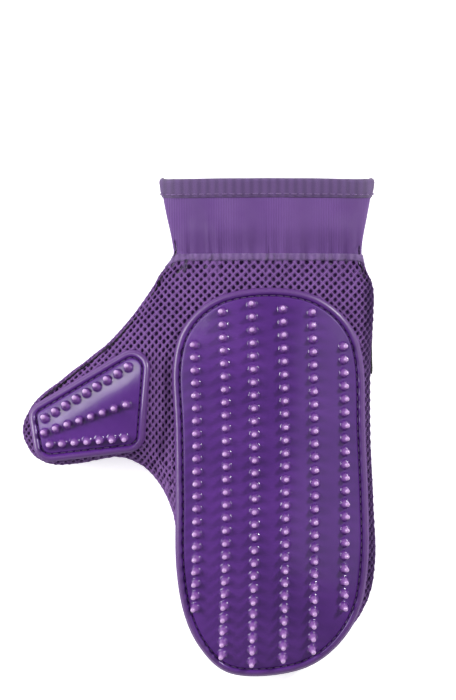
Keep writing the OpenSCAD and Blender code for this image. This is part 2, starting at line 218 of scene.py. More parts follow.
# Cloth past the seam turns in by this share of its length.
TUCK = 0.8
# Wrinkles: how far the pads hold them down, their heights, and where the web's folds fan out from.
PAD_HOLD, WRINKLE, WEB_FOLD, LOOSE_SAG, LEAST_RISE = 0.85, 0.5, 0.8, 0.4, 3.0
WEB_FOLD_POINT = (-46.0, -104.0)
FRONT_GATHER, BACK_GATHER = 0.7, 0.72
BACK_CLEARANCE, BACK_CREASE = 0.15, 1.25


def rise(t):
    """A smooth step from 0 to 1."""
    t = np.clip(t, 0, 1)
    return t * t * (3 - 2 * t)


def crease(y):
    """Depth of the hollow at the wrist elastic."""
    return np.where(np.abs(y) < CREASE_REACH, CREASE_DEPTH * (1 + np.cos(np.pi * y / CREASE_REACH)) / 2, 0)


def hand_top(x, y):
    """Height of the palm's crown, without wrinkles."""
    wrist = WRIST_DROP * ((np.minimum(y, 0) - WRIST_FLAT_Y) / WRIST_FLAT_Y) ** 2
    tip = TIP_DROP * ((y - TIP_FLAT_Y) / (TIP_Y - TIP_FLAT_Y)) ** 2
    level = CROWN - np.where(y > WRIST_FLAT_Y, wrist, 0) - np.where(y < TIP_FLAT_Y, tip, 0)
    level = level - crease(y) + CUFF_FLARE * np.clip(y / CUFF_LENGTH, 0, 1.5)
    r = level - CROWN + CROWN_RADIUS
    return CROWN - CROWN_RADIUS + np.sqrt(r * r - np.clip(x, -80, 80) ** 2)


def thumb_top(x, y):
    """Height of the thumb's front: a low ridge from the fold to the thumb's tip."""
    across = np.clip((x - RIDGE[0]) * RIDGE_SIDE[0] + (y - RIDGE[1]) * RIDGE_SIDE[1], -30, 30)
    drop = THUMB_ROUND * (np.sqrt(1 + (across / THUMB_ROUND) ** 2) - 1)
    return THUMB_Z - THUMB_FALL * np.abs(x - THUMB_NEAR_X) - drop


def plain_top(x, y):
    """Height of the front, palm and thumb together, without wrinkles."""
    (x_start, x_length), (y_start, y_length) = THUMB_BLEND_X, THUMB_BLEND_Y
    share = rise((x_start - x) / x_length) * rise((y - y_start) / y_length)
    return hand_top(x, y) * (1 - share) + thumb_top(x, y) * share


WAVES = np.random.default_rng(7).uniform(size=(26, 4))


def ripple(x, y, longest, shortest, seed=0):
    """Smooth random waves, about -1 to 1."""
    total = np.zeros_like(x, dtype=float)
    for a, b, c, d in WAVES:
        length = longest * (shortest / longest) ** b
        angle = 2 * math.pi * ((a + seed * 0.37) % 1)
        phase = 2 * math.pi * ((c + seed * 0.61) % 1)
        along = x * math.cos(angle) + y * math.sin(angle)
        total += np.sin(along * 2 * math.pi / length + phase) * (0.4 + d)
    return total / 8


def gathers(x, y, seed=0):
    """The folds that the elastic draws, running along y and fading away from the wrist."""
    wander = 1.4 * np.sin(x * 0.21 + seed) + 0.9 * np.sin(x * 0.47 + 2 * seed + 0.04 * y)
    fade = np.exp(-(np.abs(y + 1) / 10.0) ** 1.4)
    return fade * (np.sin(x * 2 * np.pi / 6.2 + wander) + 0.45 * np.sin(x * 2 * np.pi / 3.7 + 2 * wander + 1))


def fade_in(distance, over):
    return np.clip(distance / over, 0, 1)


def under_pad(x, y):
    """1 well under a rubber pad and 0 outside it, where wrinkles are let out."""
    main = fade_in(46 - np.abs(x - 0.3), 6) * fade_in(-12 - y, 6)
    thumb = fade_in(x + 114, 6) * fade_in(-54 - x, 4) * fade_in(y + 97, 4) * fade_in(-42 - y, 6)
    return np.maximum(main, thumb)


def front_top(x, y):
    """Height of the front panel, wrinkles and all."""
    loose = 1 - PAD_HOLD * under_pad(x, y)
    wrinkles = WRINKLE * ripple(x, y, 46, 16, 1)
    # Folds that fan out from the web between thumb and palm.
    wx, wy = x - WEB_FOLD_POINT[0], y - WEB_FOLD_POINT[1]
    angle, away = np.arctan2(wy, wx), np.hypot(wx, wy)
    fan = WEB_FOLD * np.sin(angle * 9 + 0.6) * np.exp(-((away - 9) / 11) ** 2)
    drawn = FRONT_GATHER * gathers(x, y) * (1 - under_pad(x, y))
    top = plain_top(x, y) + (wrinkles + fan - LOOSE_SAG) * loose + drawn
    return np.maximum(top, SEAM_Z + LEAST_RISE)


def back_base(x, y):
    """Height of the back panel over the surface that the mitt lies on."""
    flare = CUFF_LIFT * np.clip(y / CUFF_LENGTH, 0, 1.4)
    soft = 0.35 * (1 + ripple(x, y, 60, 22, 2)) * rise((42 - np.abs(x + 1)) / 30 + 0.3)
    drawn = BACK_GATHER * (1 + gathers(x, y, 1.7)) * np.exp(-(np.abs(y + 1) / 10) ** 2)
    return BACK_CLEARANCE + np.clip(soft, 0, 1.2) + BACK_CREASE * crease(y) + flare + drawn


def side(points, reach, arc, height):
    """Places flat cloth on one side of the pocket: round the seam's shoulder, then across the panel."""
    uv = np.asarray(points, float)
    d, foot, normal = nearest_on_seam(uv)
    s = d + arc - reach
    theta = np.clip(s / arc, 0, 1) * np.pi / 2
    h = np.where(s < arc, reach * (1 - np.cos(theta)), d)
    tucked = np.maximum(-s, 0)
    h = h + SEAM_PINCH * np.exp(-np.maximum(s, 0) / PINCH_FADE) + TUCK * tucked
    xy = np.where((s < arc)[:, None], foot + normal * h[:, None], uv)
    target = height(xy[:, 0], xy[:, 1])
    return np.column_stack([xy, SEAM_Z + (target - SEAM_Z) * np.sin(theta)])


def front_at(uv):
    return side(uv, FRONT_REACH, FRONT_ARC, front_top)


def back_at(uv):
    return side(uv, BACK_REACH, BACK_ARC, back_base)


STEP = 0.25


def lifted(at, uv, lift, flip=1):
    """Points on a side raised along its outward normal, and those normals."""
    p = at(uv)
    du = at(uv + [STEP, 0]) - at(uv - [STEP, 0])
    dv = at(uv + [0, STEP]) - at(uv - [0, STEP])
    n = np.cross(du, dv) * flip
    n /= np.maximum(np.linalg.norm(n, axis=1), 1e-9)[:, None]
    return p + n * np.asarray(lift).reshape(-1, 1), n


# ---------------------------------------------------------------- mesh helpers


def build(name, verts, faces, material, slot, normals=None, **attributes):
    """A mesh object from drawing points, with its material and per-point values. The slot is not used."""
    mesh = bpy.data.meshes.new(name)
    mesh.from_pydata(to_frame(verts).tolist(), [], [list(map(int, f)) for f in faces])
    mesh.polygons.foreach_set("use_smooth", [True] * len(mesh.polygons))
    for key, values in attributes.items():
        mesh.attributes.new(key, "FLOAT", "POINT").data.foreach_set("value", np.asarray(values, np.float32))
    mesh.update()
    if normals is not None:
        mesh.normals_split_custom_set_from_vertices(np.asarray(normals).tolist())
    obj = bpy.data.objects.new(name, mesh)
    bpy.context.scene.collection.objects.link(obj)
    mesh.materials.append(material)
    return obj


def subset(verts, faces, keep, *rows):
    """The faces for which keep is true, with only the points that they use."""
    chosen = [f for f, k in zip(faces, keep) if k]
    used = np.unique(np.concatenate([np.asarray(f) for f in chosen]))
    index = np.full(len(verts), -1)
    index[used] = np.arange(len(used))
    return (verts[used], [[index[i] for i in f] for f in chosen]) + tuple(r[used] for r in rows)


def triangulate(loop, spacing):
    """Triangles that fill a closed loop, with points about spacing apart inside it, after the loop's own."""
    edges = [(i, (i + 1) % len(loop)) for i in range(len(loop))]
    low, high = loop.min(0), loop.max(0)
    xs = np.arange(low[0], high[0], spacing)
    ys = np.arange(low[1], high[1], spacing * 0.866)
    grid = np.array([(x + (spacing / 2 if j % 2 else 0), y) for j, y in enumerate(ys) for x in xs])
    grid = grid[is_inside(grid, loop)]
    gap = np.min([np.linalg.norm(grid[:, None] - loop[None, k::4], axis=2).min(1) for k in range(4)], axis=0)
    grid = grid[gap > spacing * 0.6]
    points = np.vstack([loop, grid])
    v, _, f, *_ = geometry.delaunay_2d_cdt([tuple(p) for p in points], edges, [], 1, 1e-5)
    return np.array([tuple(p) for p in v]), [list(t) for t in f]


def thick(outer, inner, faces):
    """A closed slab between two sheets of the same faces: points and faces."""
    n = len(outer)
    edges = {edge: True for f in faces for edge in zip(f, f[1:] + f[:1])}
    rim = [(b, a, a + n, b + n) for a, b in edges if (b, a) not in edges]
    return np.vstack([outer, inner]), faces + [[i + n for i in reversed(f)] for f in faces] + rim


def grid_faces(rows, columns, wrap=False):
    """Four-sided faces between rows of points, the last column joined to the first if wrap is true."""
    last = columns if wrap else columns - 1
    faces = []
    for r in range(rows - 1):
        here, above = r * columns, (r + 1) * columns
        for c in range(last):
            d = (c + 1) % columns
            faces.append([here + c, here + d, above + d, above + c])
    return faces


# ---------------------------------------------------------------- materials


class Shader:
    """A node material with a principled shader and short calls for its nodes."""

    def __init__(self, name, color, roughness, **sockets):
        self.material = bpy.data.materials.new(name)
        self.material.use_nodes = True
        self.tree = self.material.node_tree
        self.bsdf = self.tree.nodes["Principled BSDF"]
        self.set(self.bsdf, {"Base Color": (*color, 1), "Roughness": roughness, **sockets})
        self.place = self.add("ShaderNodeTexCoord").outputs["Object"]

    def add(self, kind, settings=None, **inputs):
        node = self.tree.nodes.new(kind)
        for key, value in (settings or {}).items():
            setattr(node, key, value)
        self.set(node, inputs)
        return node

    def set(self, node, inputs):
        """Sets or links sockets by name, or by number where the name is an underscore and digits."""
        for key, value in inputs.items():
            numbered = key[0] == "_" and key[1:].isdigit()
            socket = node.inputs[int(key[1:]) if numbered else key.replace("_", " ")]
            if hasattr(value, "is_output"):
                self.tree.links.new(value, socket)
            else:
                socket.default_value = value

    def scaled(self, x, y, z, turn=0.0):
        node = self.add("ShaderNodeMapping", Vector=self.place)
        node.inputs["Scale"].default_value = (x, y, z)
        node.inputs["Rotation"].default_value = (0, 0, turn)
        return node.outputs["Vector"]

    def noise(self, scale, detail=3.0, vector=None):
        node = self.add("ShaderNodeTexNoise", Vector=vector or self.place, Scale=scale, Detail=detail)
        return node.outputs["Fac"]

    def wave(self, scale, vector, distortion=0.0):
        bands = {"wave_type": "BANDS"}
        node = self.add("ShaderNodeTexWave", bands, Vector=vector, Scale=scale, Distortion=distortion)
        node.inputs["Detail Scale"].default_value = 2.0
        return node.outputs["Fac"]

    def attribute(self, name):
        return self.add("ShaderNodeAttribute", {"attribute_name": name}).outputs["Fac"]

    def math(self, operation, a, b=0.0, clamp=False):
        return self.add("ShaderNodeMath", {"operation": operation, "use_clamp": clamp}, _0=a, _1=b).outputs[0]

    def spread(self, value, low, high, to_low=0.0, to_high=1.0):
        node = self.add("ShaderNodeMapRange", Value=value)
        for key, x in (("From Min", low), ("From Max", high), ("To Min", to_low), ("To Max", to_high)):
            node.inputs[key].default_value = x
        return node.outputs["Result"]

    def mix(self, share, a, b):
        node = self.add("ShaderNodeMix", {"data_type": "RGBA"})
        for key, value in ((0, share), (6, a), (7, b)):
            if hasattr(value, "is_output"):
                self.tree.links.new(value, node.inputs[key])
            else:
                node.inputs[key].default_value = value if key == 0 else (*value, 1)
        return node.outputs[2]

    def color(self, value):
        self.set(self.bsdf, {"Base Color": value})

    def rough(self, value):
        self.set(self.bsdf, {"Roughness": value})

    def bump(self, height, depth, strength=1.0, after=None):
        """Bump of this depth in metres, on top of an earlier bump if one is given."""
        node = self.add("ShaderNodeBump", Strength=strength, Distance=depth, Height=height)
        if after is not None:
            self.set(node, {"Normal": after})
        self.set(self.bsdf, {"Normal": node.outputs["Normal"]})
        return node.outputs["Normal"]


def yarn_mesh_material():
    """Light violet knitted yarn of the spacer mesh, with painted shade down in the holes and at the right
    side and painted light in the web.
    """
    sheen = {"Sheen Weight": 0.12, "Sheen Roughness": 0.45}
    s = Shader("spacer_mesh_yarn", (0.14, 0.062, 0.215), 0.72, **sheen)
    s.bsdf.inputs["Sheen Tint"].default_value = (0.65, 0.35, 0.9, 1)
    strands = s.wave(420, s.scaled(1, 1, 1, 0.78), 1.2)
    cross = s.wave(420, s.scaled(1, 1, 1, -0.78), 1.2)
    knit = s.math("MAXIMUM", strands, cross)
    patch = s.noise(60, 2)
    tone = s.mix(s.spread(patch, 0.3, 0.7), (0.094, 0.029, 0.178), (0.140, 0.048, 0.240))
    tone = s.mix(s.spread(knit, 0.2, 0.9, 0.0, 0.5), tone, (0.250, 0.110, 0.360))
    # Painted light: the yarn in the web between the pads is tinted lighter.
    tone = s.mix(s.math("MULTIPLY", s.attribute("web"), 0.75), tone, (0.215, 0.095, 0.320))
    # Painted shade: darker down the holes and at the right side.
    painted_shade = s.attribute("depth")
    s.color(s.mix(painted_shade, tone, (0.042, 0.010, 0.085)))
    fuzz = s.noise(2600, 4)
    s.bump(fuzz, 0.00012, 0.6, s.bump(knit, 0.00022, 0.9))
    return s.material


def backing_material():
    """The mesh's lower layer seen down its holes: a real layer, its colour darkened with painted shade."""
    s = Shader("spacer_mesh_backing", (0.024, 0.007, 0.045), 0.85, **{"Sheen Weight": 0.15})
    loops = s.wave(520, s.scaled(1, 1, 1, 0.4), 3)
    # Painted shade: the layer's colours are those of the shade down the holes.
    s.color(s.mix(s.spread(loops, 0.2, 0.9), (0.042, 0.010, 0.085), (0.085, 0.026, 0.145)))
    s.bump(loops, 0.0003, 0.8)
    return s.material


def knit_material(name, tone_low, tone_high):
    """Fine warp knit laminated on foam: soft sheen, small wales and a little fuzz."""
    s = Shader(name, tone_low, 0.78, **{"Sheen Weight": 0.5, "Sheen Roughness": 0.4})
    s.bsdf.inputs["Sheen Tint"].default_value = (0.72, 0.55, 0.92, 1)
    wales = s.wave(270, s.scaled(1, 0.06, 0.1), 0.5)
    courses = s.wave(215, s.scaled(0.06, 1, 0.1), 0.5)
    loops = s.math("MULTIPLY", wales, courses)
    patch = s.noise(28, 3)
    tone = s.mix(s.spread(patch, 0.3, 0.7), tone_low, tone_high)
    s.color(s.mix(s.spread(loops, 0.0, 0.8, 0.0, 0.3), tone, tuple(1.45 * c for c in tone_high)))
    s.rough(s.spread(s.noise(90, 2), 0.3, 0.7, 0.68, 0.86))
    s.bump(s.noise(3000, 4), 0.0001, 0.5, s.bump(loops, 0.00015, 0.7))
    return s.material


def rubber_material():
    """Glossy soft violet rubber: clearer and lighter up the nubs, whose pale tips are partly a painted
    highlight, with a painted highlight along the bead and painted shade in the groove.
    """
    s = Shader(
        "pad_rubber", (0.068, 0.014, 0.157), 0.22,
        **{"Subsurface Weight": 0.12, "Subsurface Scale": 0.003, "Coat Weight": 0.25, "Coat Roughness": 0.12},
    )
    s.bsdf.inputs["Subsurface Radius"].default_value = (0.9, 0.4, 1.0)
    cloud = s.noise(38, 3)
    tone = s.mix(s.spread(cloud, 0.32, 0.68), (0.062, 0.012, 0.150), (0.090, 0.021, 0.200))
    # Painted highlight: the bead is tinted lighter.
    tone = s.mix(s.attribute("bead"), tone, (0.100, 0.035, 0.176))
    tone = s.mix(s.spread(s.attribute("tip"), 0.04, 0.35), tone, (0.235, 0.100, 0.345))
    # The nubs' pale tips: partly the clear rubber there, partly a painted highlight.
    tone = s.mix(s.spread(s.attribute("tip"), 0.6, 0.9), tone, (0.480, 0.290, 0.570))
    # Painted shade: the groove is tinted darker.
    tone = s.mix(s.attribute("groove"), tone, (0.030, 0.007, 0.066))
    s.color(tone)
    smudge = s.noise(120, 4, s.scaled(1, 0.5, 1))
    shine = s.math("MULTIPLY", s.attribute("tip"), 0.06)
    gloss = s.math("SUBTRACT", s.spread(smudge, 0.3, 0.75, 0.14, 0.27), shine)
    matt = s.math("ADD", s.attribute("groove"), s.attribute("flank"), clamp=True)
    satin = s.math("ADD", gloss, s.math("MULTIPLY", s.attribute("bead"), 0.16))
    s.rough(s.math("ADD", satin, s.math("MULTIPLY", matt, 0.4)))
    s.set(s.bsdf, {
        "Specular IOR Level": s.spread(matt, 0, 1, 0.5, 0.08), "Coat Weight": s.spread(matt, 0, 1, 0.25, 0.0),
    })
    wavy = s.noise(55, 1.5)
    grain = s.noise(1500, 3)
    s.bump(grain, 0.00004, 0.35, s.bump(wavy, 0.0009, 0.35))
    return s.material


def thread_material(name, color):
    """Twisted sewing thread."""
    s = Shader(name, color, 0.6, **{"Sheen Weight": 0.3})
    twist = s.wave(1300, s.scaled(1, 1, 1, 0.6), 0.5)
    s.color(s.mix(s.spread(twist, 0.2, 0.9), tuple(0.55 * c for c in color), tuple(1.6 * c for c in color)))
    s.bump(twist, 0.00015, 0.9)
    return s.material


def ribbed_material(name, dark, light, scale):
    """Woven tape or elastic with ribs across it."""
    s = Shader(name, dark, 0.75, **{"Sheen Weight": 0.3})
    ribs = s.wave(scale, s.scaled(1, 0.05, 0.3), 0.8)
    weave = s.wave(scale * 2.2, s.scaled(0.05, 1, 0.3), 0.6)
    s.color(s.mix(s.spread(s.math("MULTIPLY", ribs, weave), 0.0, 0.7), dark, light))
    s.bump(s.noise(2400, 3), 0.00008, 0.4, s.bump(ribs, 0.0003, 0.9))
    return s.material


def label_material():
    """Black satin label cloth, with nothing woven into it."""
    s = Shader("label_satin", (0.010, 0.010, 0.012), 0.5, **{"Sheen Weight": 0.08})
    weft = s.wave(900, s.scaled(0.05, 1, 0.05), 0.4)
    warp = s.wave(1200, s.scaled(1, 0.05, 1), 0.4)
    s.color(s.mix(s.math("MULTIPLY", weft, warp), (0.006, 0.006, 0.007), (0.040, 0.040, 0.046)))
    s.bump(s.math("ADD", weft, warp), 0.0001, 0.8)
    return s.material


YARN = yarn_mesh_material()
BACKING = backing_material()
KNIT = knit_material("back_knit", (0.080, 0.028, 0.155), (0.108, 0.042, 0.195))
CUFF_KNIT = knit_material("cuff_knit", (0.084, 0.030, 0.160), (0.112, 0.044, 0.200))
RUBBER = rubber_material()
THREAD = thread_material("purple_thread", (0.050, 0.012, 0.110))
PALE_THREAD = thread_material("cuff_thread", (0.150, 0.070, 0.240))
HEM = ribbed_material("hem_tape", (0.075, 0.030, 0.140), (0.135, 0.062, 0.230), 700)
BINDING = ribbed_material("wrist_binding", (0.135, 0.060, 0.235), (0.235, 0.125, 0.360), 900)
ELASTIC = ribbed_material("elastic_tape", (0.050, 0.020, 0.095), (0.105, 0.048, 0.180), 520)
LABEL = label_material()
LABEL_THREAD = thread_material("label_thread", (0.020, 0.020, 0.023))


# ---------------------------------------------------------------- the spacer mesh

HOLE_X, HOLE_Y = 3.8, 3.92
UNIT = np.array([HOLE_X / 4, HOLE_Y / 4])
CORNERS = [(2, 0), (1, 1), (0, 2), (-1, 1), (-2, 0), (-1, -1), (0, -2), (1, -1)]
MESH_DEPTH = 1.5
# The web between the pads, where the cloth is drawn in sideways, and where that starts and how fast it grows.
WEB_X, WEB_PULL, WEB_REACH = -52.0, 3.3, 14.0
WEB_START_Y, WEB_GROWTH = -28.0, 26.0
# A hole's radii, and their change in the web and at the right side.
HOLE_RADII, WEB_CHANGE, SIDE_CHANGE = np.array([0.92, 1.02]), np.array([-0.44, 0.16]), 0.26
# Painted shade on the yarn, which darkens with depth down the holes: where that starts, over what depth, the
# painted shade added at the right side and the painted light taken off in the web.
PAINTED_SHADE_START, PAINTED_SHADE_REACH, SIDE_PAINTED_SHADE, WEB_PAINTED_LIGHT = 0.06, 0.75, 0.95, 0.3


def web_share(x, y):
    """How much the cloth is drawn in sideways between the two pads."""
    return np.exp(-((x - WEB_X) / 10) ** 2) * rise((WEB_START_Y - y) / WEB_GROWTH)


def drawn_in(points):
    p = np.atleast_2d(points)
    grown = rise((WEB_START_Y - p[:, 1]) / WEB_GROWTH)
    shift = WEB_PULL * np.tanh((p[:, 0] - WEB_X) / WEB_REACH) * grown
    return np.column_stack([p[:, 0] - shift, p[:, 1]])


def lattice():
    """The net in the flat: points, how far each lies below the face, faces, and each face's cell centre."""
    low, high = np.floor(np.array([-132, -216]) / UNIT), np.ceil(np.array([66, 2]) / UNIT)
    cells = [
        (4 * i + 2 * (j % 2), 2 * j)
        for j in range(int(low[1] / 2), int(high[1] / 2) + 1)
        for i in range(int(low[0] / 4) - 1, int(high[0] / 4) + 2)
    ]
    centres = drawn_in(np.array(cells) * UNIT)
    distance, _, _ = nearest_on_seam(centres)
    keep = (distance > -(FRONT_ARC - FRONT_REACH) - 1.4) & (centres[:, 1] < 0.9) & (centres[:, 1] > -215)
    covered = is_inside(centres, PAD_PATH + inward(PAD_PATH, True) * 4.5)
    covered |= is_inside(centres, THUMB_PATH + inward(THUMB_PATH, True) * 4.5)
    verts, depth, faces, owner, index = [], [], [], [], {}
    jitter = np.random.default_rng(11)

    def corner(key):
        if key not in index:
            index[key] = len(verts)
            verts.append(drawn_in(np.array(key) * UNIT)[0] + jitter.normal(0, 0.09, 2))
            depth.append(-0.16 if key[0] % 2 == 0 else 0.0)
        return index[key]

    for cell, centre, ok, hidden in zip(cells, centres, keep, covered):
        if not ok:
            continue
        ring = [corner((cell[0] + a, cell[1] + b)) for a, b in CORNERS]
        if hidden:
            faces.append(ring)
            owner.append(centre)
            continue
        near_web = float(web_share(centre[0], centre[1]))
        near_side = float(rise((centre[0] - 40) / 7))
        radii = HOLE_RADII + WEB_CHANGE * near_web + SIDE_CHANGE * near_side
        centre = centre + jitter.normal(0, 0.05, 2)
        rx, ry = radii * jitter.uniform(0.93, 1.06)
        lean = 0.12 + jitter.normal(0, 0.05)
        start = len(verts)
        for share, down in ((1.0, 0.42), (0.86, MESH_DEPTH)):
            for k in range(8):
                a = k * math.pi / 4
                dx, dy = rx * share * math.cos(a), ry * share * math.sin(a)
                verts.append(centre + np.array([dx + lean * dy, dy]))
                depth.append(down)
        for k in range(8):
            m = (k + 1) % 8
            faces.append([start + k, ring[k], ring[m], start + m])
            faces.append([start + 8 + k, start + k, start + m, start + 8 + m])
            owner += [centre, centre]
    return np.array(verts), np.array(depth), faces, np.array(owner)


ZONE_NAMES = ["palm", "finger", "thumb"]
FINGER_ZONE_Y, THUMB_ZONE_X = -112.0, -44.0


def zones(points):
    """Which body's stretch each flat point belongs to: 0 the palm, 1 the fingers, 2 the thumb."""
    x, y = points[:, 0], points[:, 1]
    return np.where(y < FINGER_ZONE_Y, 1, np.where(x < THUMB_ZONE_X, 2, 0))


def bend(obj, zone):
    """Attaches a palm zone's piece to the palm's body, or bakes any other piece's place into its mesh."""
    if zone == 0:
        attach(obj, "palm")
    elif zone == 1:
        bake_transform(obj)
    else:
        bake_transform(obj)


def spacer_mesh():
    flat, depth, faces, owner = lattice()
    verts, _ = lifted(front_at, flat, -depth)
    zone = zones(owner)
    for k, name in enumerate(ZONE_NAMES):
        v, f, d = subset(verts, faces, zone == k, depth)
        web = web_share(v[:, 0], v[:, 1])
        # The depth attribute is painted shade: darker down the holes and at the right side where the mesh
        # turns down, less dark in the web. The web attribute tints the web's yarn lighter as painted light.
        dark = (d - PAINTED_SHADE_START) / PAINTED_SHADE_REACH + SIDE_PAINTED_SHADE * rise((v[:, 0] - 42) / 6) - WEB_PAINTED_LIGHT * web
        piece = build(f"{name}_mesh_net", v, f, YARN, "spacer_mesh", depth=np.clip(dark, 0, 1), web=web)
        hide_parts(f"{name}_front")
        bend(piece, k)


# ---------------------------------------------------------------- smooth cloth panels

# Each layer's outer and inner face, as lift over the surface, and the spacing of its points.
BACKING_LIFTS, BACKING_SPACING = (-1.7, -3.0), 2.4
BACK_LIFTS, BACK_SPACING = (0.0, -2.4), 2.0


def hand_loop(extra):
    """The flat outline of a hand panel, closed along the wrist line."""
    rows = SEAM_PATH[:, 1] <= 0.001
    path = SEAM_PATH[rows] - SEAM_NORMALS[rows] * extra
    path = path[path[:, 1] <= 0.3]
    width = path[0, 0] - path[-1, 0]
    across = np.linspace(path[-1, 0], path[0, 0], int(width / 2.2))[1:-1]
    return np.vstack([path, np.column_stack([across, np.zeros(len(across))])])


def tidy_loop(loop, spacing):
    kept = [loop[0]]
    for p in loop[1:]:
        if np.linalg.norm(p - kept[-1]) > spacing:
            kept.append(p)
    return np.array(kept)


def panel(at, extra, lifts, spacing, flip, pieces):
    """A cloth layer over the whole hand, cut into a closed slab for each zone.

    pieces gives name, material, slot and the CAD node that each zone's slab stands for.
    """
    loop = tidy_loop(hand_loop(extra), spacing * 0.55)
    flat, faces = triangulate(loop, spacing)
    outer, normals = lifted(at, flat, lifts[0], flip)
    inner, _ = lifted(at, flat, lifts[1], flip)
    if flip < 0:
        faces = [list(reversed(f)) for f in faces]
    centres = np.array([flat[f].mean(0) for f in faces])
    zone = zones(centres)
    for k, (name, material, slot, node) in enumerate(pieces):
        o, f, i, n = subset(outer, faces, zone == k, inner, normals)
        verts, solid = thick(o, i, f)
        piece = build(name, verts, solid, material, slot, normals=np.vstack([n, -n]))
        if node:
            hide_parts(node)
        bend(piece, k)


def hand_panels():
    panel(front_at, FRONT_ARC - FRONT_REACH - 0.3, BACKING_LIFTS, BACKING_SPACING, 1, [
        (f"{name}_mesh_backing", BACKING, "spacer_mesh", None) for name in ZONE_NAMES
    ])
    panel(back_at, BACK_ARC - BACK_REACH, BACK_LIFTS, BACK_SPACING, -1, [
        (f"{name}_back_panel", KNIT, "back_knit", f"{name}_back") for name in ZONE_NAMES
    ])


# ---------------------------------------------------------------- rubber pads

# The edge, the bead and the groove, as distance in from the pad's outline and height over the cloth.
PAD_PROFILE = [
    (1.6, 0.12), (0.35, 0.12), (0.04, 0.45), (0.0, 1.2), (0.05, 2.0), (0.35, 2.75), (0.9, 3.3), (1.65, 3.52),
    (2.35, 3.32), (2.85, 2.95), (3.15, 2.55), (3.32, 2.2), (3.44, 1.85), (3.72, 1.72), (4.0, 1.85),
    (4.12, 2.18), (4.3, 2.24), (4.8, 2.25), (5.4, 2.25),
]
FACE_RISE = 2.25
FACE_SPACING, UNDER_SPACING = 1.9, 6.0
GROOVE_INSET, GROOVE_THREAD_RISE = 3.72, 1.99
# Rows of stitches: pitch, length, thread radius and dip at the ends.
PAD_STITCH = (3.4, 2.6, 0.25, 0.42)
HEM_STITCH = (3.6, 2.6, 0.3, 0.5)
ELASTIC_STITCH = (2.8, 2.1, 0.28, 0.4)
LABEL_STITCH = (3.1, 2.3, 0.22, 0.35)
# Half a nub's outline: radius and height, from its flared foot to its round tip.
NUB_PROFILE = [
    (2.75, -0.12), (2.45, 0.04), (2.2, 0.24), (2.02, 0.5), (1.85, 0.95), (1.68, 1.55), (1.5, 2.3), (1.3, 3.0),
    (1.17, 3.45), (1.13, 3.8), (1.05, 4.2), (0.86, 4.52), (0.5, 4.76), (0.0, 4.84),
]
NUB_SIDES = 16
NUB_LIFT = 0.03


def main_height(x, y):
    return plain_top(x, y) + 0.1 * ripple(x, y, 50, 20, 4)


def thumb_height(x, y):
    return plain_top(x, y) + 0.06 * ripple(x, y, 30, 14, 5)


def bowed(x, y):
    """A place in a column of nubs, which bows to the right and towards the fingertip in its middle."""
    share = 1 - ((y - COLUMN_MIDDLE) / COLUMN_HALF) ** 2
    bow = COLUMN_BOW + (LEFT_BOW if x < -15 else 0)
    return x + bow * share, y - DOWN_BOW * share


def main_nub_feet():
    return np.array([
        bowed(x, y) for x, first, last, count in NUB_COLUMNS for y in np.linspace(first, last, count)
    ])


def thumb_nub_feet():
    return np.vstack([np.linspace(a, b, n) for a, b, n in THUMB_ROWS])


def surface_normals(height, xy):
    gx = height(xy[:, 0] + 0.5, xy[:, 1]) - height(xy[:, 0] - 0.5, xy[:, 1])
    gy = height(xy[:, 0], xy[:, 1] + 0.5) - height(xy[:, 0], xy[:, 1] - 0.5)
    n = np.column_stack([-gx, -gy, np.ones(len(xy))])
    return n / np.linalg.norm(n, axis=1)[:, None]


def nubs(height, feet, seed):
    """All nubs of a pad: points, faces and how far up each point is."""
    rng = np.random.default_rng(seed)
    normals = surface_normals(height, feet)
    verts, faces, tips = [], [], []
    turn = np.arange(NUB_SIDES) * 2 * np.pi / NUB_SIDES
    top = NUB_PROFILE[-1][1]
    for (x, y), n in zip(feet, normals):
        base = np.array([x, y, float(height(np.array([x]), np.array([y]))[0]) + FACE_RISE + NUB_LIFT])
        side_x = np.cross([0, 1, 0], n)
        side_x /= np.linalg.norm(side_x)
        side_y = np.cross(n, side_x)
        tall = rng.uniform(0.97, 1.03)
        sway = rng.normal(0, 0.06, 2)
        start = len(verts)
        for radius, up in NUB_PROFILE[:-1]:
            share = max(up, 0) / top
            centre = base + n * up * tall + (side_x * sway[0] + side_y * sway[1]) * share
            verts += [centre + radius * (side_x * math.cos(a) + side_y * math.sin(a)) for a in turn]
            tips += [share] * NUB_SIDES
        verts.append(base + n * top * tall + side_x * sway[0] + side_y * sway[1])
        tips.append(1.0)
        rings = len(NUB_PROFILE) - 1
        faces += [[start + i for i in f] for f in grid_faces(rings, NUB_SIDES, wrap=True)]
        apex = start + rings * NUB_SIDES
        last = apex - NUB_SIDES
        faces += [[last + k, last + (k + 1) % NUB_SIDES, apex] for k in range(NUB_SIDES)]
    return np.array(verts), faces, np.array(tips)


